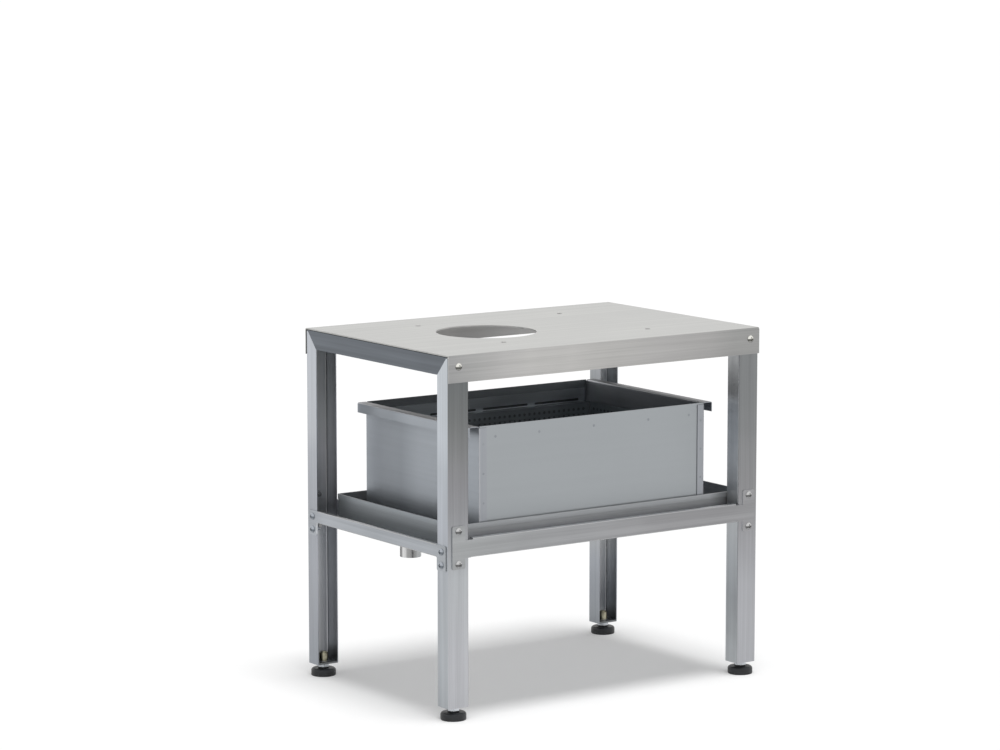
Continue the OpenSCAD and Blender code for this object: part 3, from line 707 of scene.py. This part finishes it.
def hole_field_pattern():
    """Flat round discs in rows across X and Y, centred on the origin and facing up from z = 0."""
    p = Pattern("hole_field", pitch=HOLE_PITCH, hole=0.0048, across=10, down=4)
    disc = p.node("GeometryNodeMeshCircle", {"Vertices": 12, "Radius": p.half("hole")}, fill_type="TRIANGLE_FAN")
    return p.close(p.copies(p.grid(), disc.outputs[0]))


def slot_row_pattern():
    """Row of flat round-ended strips along X, facing up from z = 0."""
    p = Pattern("slot_row", count=SLOT_COUNT, pitch=SLOT_PITCH, length=0.090, height=0.0036)
    strip = p.rectangle(p.given["length"], p.given["height"])
    ends = p.node("GeometryNodeFilletCurve", {"Curve": strip, "Count": 6, "Limit Radius": True,
                                              "Radius": p.half("height")}, mode="POLY")
    flat = p.node("GeometryNodeFillCurve", {0: ends.outputs[0]})
    return p.close(p.copies(p.row(p.given["count"], p.given["pitch"]), flat.outputs[0]))


DROP_OVERLAP = 2.2     # length of a weld's drops, in ripples


def weld_bead_pattern():
    """Straight bead along X from the origin, one flat drop after another."""
    p = Pattern("weld_bead", length=0.03, width=0.0035, height=0.0009, ripple=0.0012)
    ripple = p.given["ripple"]
    count = p.sum("ROUND", p.sum("DIVIDE", p.given["length"], ripple))
    size = p.vector(p.sum("MULTIPLY", ripple, DROP_OVERLAP), p.given["width"],
                    p.sum("MULTIPLY", p.given["height"], 2.0))
    return p.close(p.copies(p.row(count, ripple), p.weld_drop(), Scale=size))


def weld_ring_pattern():
    """Bead round the Z axis, its drops turned along the seam."""
    p = Pattern("weld_ring", radius=0.0168, width=0.0024, ripple=0.0013)
    radius, width, ripple = p.given["radius"], p.given["width"], p.given["ripple"]
    count = p.sum("ROUND", p.sum("DIVIDE", p.sum("MULTIPLY", radius, 2 * math.pi), ripple))
    ring = p.node("GeometryNodeMeshCircle", {"Vertices": count, "Radius": radius})
    outward = p.node("GeometryNodeInputPosition")
    turn = p.node("FunctionNodeAlignRotationToVector", {"Vector": outward.outputs[0]}, axis="X")
    size = p.vector(width, p.sum("MULTIPLY", ripple, DROP_OVERLAP), width)
    return p.close(p.copies(ring.outputs[0], p.weld_drop(), Rotation=turn.outputs[0], Scale=size))


# ---- Pieces that stand for nodes or finish them

def piece(name, mesh, body, replaces=()):
    """Puts a mesh in the scene, on its body, in the place of the nodes it stands for."""
    made = bpy.data.objects.new(name, mesh)
    bpy.context.scene.collection.objects.link(made)
    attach(made, body)
    if replaces:
        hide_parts(*replaces)


def placed(mesh, at, along=(1, 0, 0), up=(0, 0, 1)):
    """The mesh moved to a place, its X and Z turned to two directions."""
    x = Vector(along).normalized()
    y = Vector(up).cross(x).normalized()
    turn = Matrix((x, y, x.cross(y))).transposed().to_4x4()
    mesh.transform(Matrix.Translation(at) @ turn)
    mesh.update()
    return mesh


def middle(low, high, height):
    """The middle of a box as seen from above, at a height."""
    return ((low.x + high.x) / 2, (low.y + high.y) / 2, height)


def gathered(name, meshes):
    """One mesh from several."""
    made = bmesh.new()
    for mesh in meshes:
        made.from_mesh(mesh)
    whole = bpy.data.meshes.new(name)
    made.to_mesh(whole)
    made.free()
    whole.materials.append(meshes[0].materials[0])
    return whole


def make_studs(finish):
    """Threaded rods in the place of the plain studs."""
    pattern = threaded_rod_pattern()
    for corner in CORNERS:
        low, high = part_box("stud_" + corner)
        rod = pattern.mesh(finish, length=high.z - low.z, radius=(high.x - low.x) / 2)
        placed(rod, middle(low, high, low.z))
        piece("threaded_stud_" + corner, rod, "foot_stud_" + corner, ["stud_" + corner])


def make_strainer_base(finish):
    """Finely perforated sheet in the place of the strainer's simpler base."""
    pattern = perforated_sheet_pattern()
    low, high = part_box("strainer_base")
    across = round((high.x - low.x) / HOLE_PITCH)
    pitch = (high.x - low.x) / across
    down = round((high.y - low.y) / pitch)
    sheet = pattern.mesh(finish, pitch=pitch, thickness=high.z - low.z, across=across, down=down)
    for vertex in sheet.vertices:
        vertex.co.y *= (high.y - low.y) / (down * pitch)
    placed(sheet, middle(low, high, low.z))
    piece("perforated_base", sheet, "strainer", ["strainer_base"])


def make_wall_holes(finish):
    """Rows of round holes in the strainer's four walls, below a plain band, shown on both faces of each wall as
    flat discs of painted shade.
    """
    pattern = hole_field_pattern()
    low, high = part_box("strainer_walls")
    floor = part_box("strainer_base")[1].z
    rows = int((high.z - PLAIN_TOP - floor - PLAIN_FOOT) / HOLE_PITCH) + 1
    height = high.z - PLAIN_TOP - (rows - 1) * HOLE_PITCH / 2
    front, back = low.y + STRAINER_RIM, high.y - STRAINER_RIM
    walls = [((0, y, height), (1, 0, 0), (0, side, 0), high.x - low.x) for y, side in ((front, -1), (back, 1))]
    walls += [((x, (front + back) / 2, height), (0, 1, 0), (side, 0, 0), back - front)
              for x, side in ((low.x, -1), (high.x, 1))]
    fields = []
    for at, along, out, length in walls:
        across = int((length - PLAIN_ENDS) / HOLE_PITCH)
        for depth, side in ((DISC_LIFT, 1), (-STRAINER_SKIN - DISC_LIFT, -1)):
            field = pattern.mesh(finish, across=across, down=rows)
            fields.append(placed(field, Vector(at) + Vector(out) * depth, along, Vector(out) * side))
    piece("strainer_wall_holes", gathered("strainer_wall_holes", fields), "strainer")


def make_box_spot_welds(finish):
    """Electrode marks that hold the ledges to the panels and the corner tabs to the front and back."""
    pattern = spot_weld_pattern()
    low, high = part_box("peel_box_body")
    end_low, end_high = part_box("peel_box_right_end")
    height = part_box("strainer_ledge_back")[0].z + PANEL_MARKS_UP
    marks = []
    for panel, tab, facing in ((low.y, end_low.y, -1), (high.y, end_high.y, 1)):
        for x in PANEL_MARKS_X:
            dot = pattern.mesh(finish, count=1, radius=PANEL_MARK_RADIUS)
            marks.append(placed(dot, (x, panel + facing * MARK_LIFT, height), (facing, 0, 0), (0, facing, 0)))
        for x in (low.x + TAB_MARKS_IN, high.x - TAB_MARKS_IN):
            start = (x, tab + facing * MARK_LIFT, low.z + TAB_MARKS_UP)
            marks.append(placed(pattern.mesh(finish), start, (0, 0, 1), (0, facing, 0)))
    piece("box_spot_welds", gathered("box_spot_welds", marks), "peel_box")


def make_ledge_slots(finish):
    """Row of long slots low in each ledge's upright leg, drawn as flat strips of painted shade."""
    pattern = slot_row_pattern()
    for name, facing in (("strainer_ledge_front", 1), ("strainer_ledge_back", -1)):
        low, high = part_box(name)
        face = (low.y if facing > 0 else high.y) + facing * LEDGE_FACE
        start = (-facing * SLOT_PITCH * (SLOT_COUNT - 1) / 2, face, low.z + SLOTS_UP)
        row = placed(pattern.mesh(finish), start, (facing, 0, 0), (0, facing, 0))
        piece(name.replace("strainer_ledge", "ledge_slots"), row, "peel_box")


def make_frame_welds(finish):
    """Beads inside the mitres between the side rails and the legs, and round the bushes on the end plates."""
    bead, ring = weld_bead_pattern(), weld_ring_pattern()
    beads = []
    for corner, (x_side, y_side) in CORNERS.items():
        low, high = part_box("leg_" + corner)
        rail_low, rail_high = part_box("side_rail_" + ("left" if x_side < 0 else "right"))
        face = (low.x + LEG_SHEET) if x_side < 0 else (high.x - LEG_SHEET)
        outer, inner = (low.y, high.y) if y_side < 0 else (high.y, low.y)
        start = Vector((face, outer - y_side * LEG_MITRE, rail_high.z - LEG_MITRE))
        end = Vector((face, inner, rail_low.z))
        seam = bead.mesh(finish, length=(end - start).length)
        beads.append(placed(seam, start, end - start, (-x_side, 0, 0)))
        low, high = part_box("bush_" + corner)
        collar = ring.mesh(finish, radius=(high.x - low.x) / 2)
        beads.append(placed(collar, middle(low, high, low.z)))
    piece("frame_weld_beads", gathered("frame_weld_beads", beads), "frame")


def make_drain_weld(finish):
    """Bead where the drain pipe meets the tray."""
    low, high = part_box("drain_spout")
    ring = weld_ring_pattern().mesh(finish, radius=(high.x - low.x) / 2, width=DRAIN_BEAD_WIDTH,
                                    ripple=DRAIN_BEAD_RIPPLE)
    placed(ring, middle(low, high, high.z - DRAIN_BEAD_SUNK))
    piece("drain_weld_bead", ring, "tray")


set_camera()
set_sky()
set_lamp()
set_floor()
FINISHES = set_finishes()
make_studs(FINISHES["stud_front_left"])
make_strainer_base(FINISHES["strainer_base"])
make_wall_holes(painted_dark_opening("wall_hole", tone(86, 91, 96), tone(108, 113, 118)))
make_box_spot_welds(bright_metal("spot_weld_mark", tone(138, 142, 146), tone(154, 158, 162), roughness=0.42))
make_ledge_slots(painted_dark_opening("ledge_slot", tone(24, 28, 31), tone(42, 46, 49)))
make_frame_welds(weld_metal())
make_drain_weld(weld_metal())

bpy.context.scene.view_settings.view_transform = "Standard"
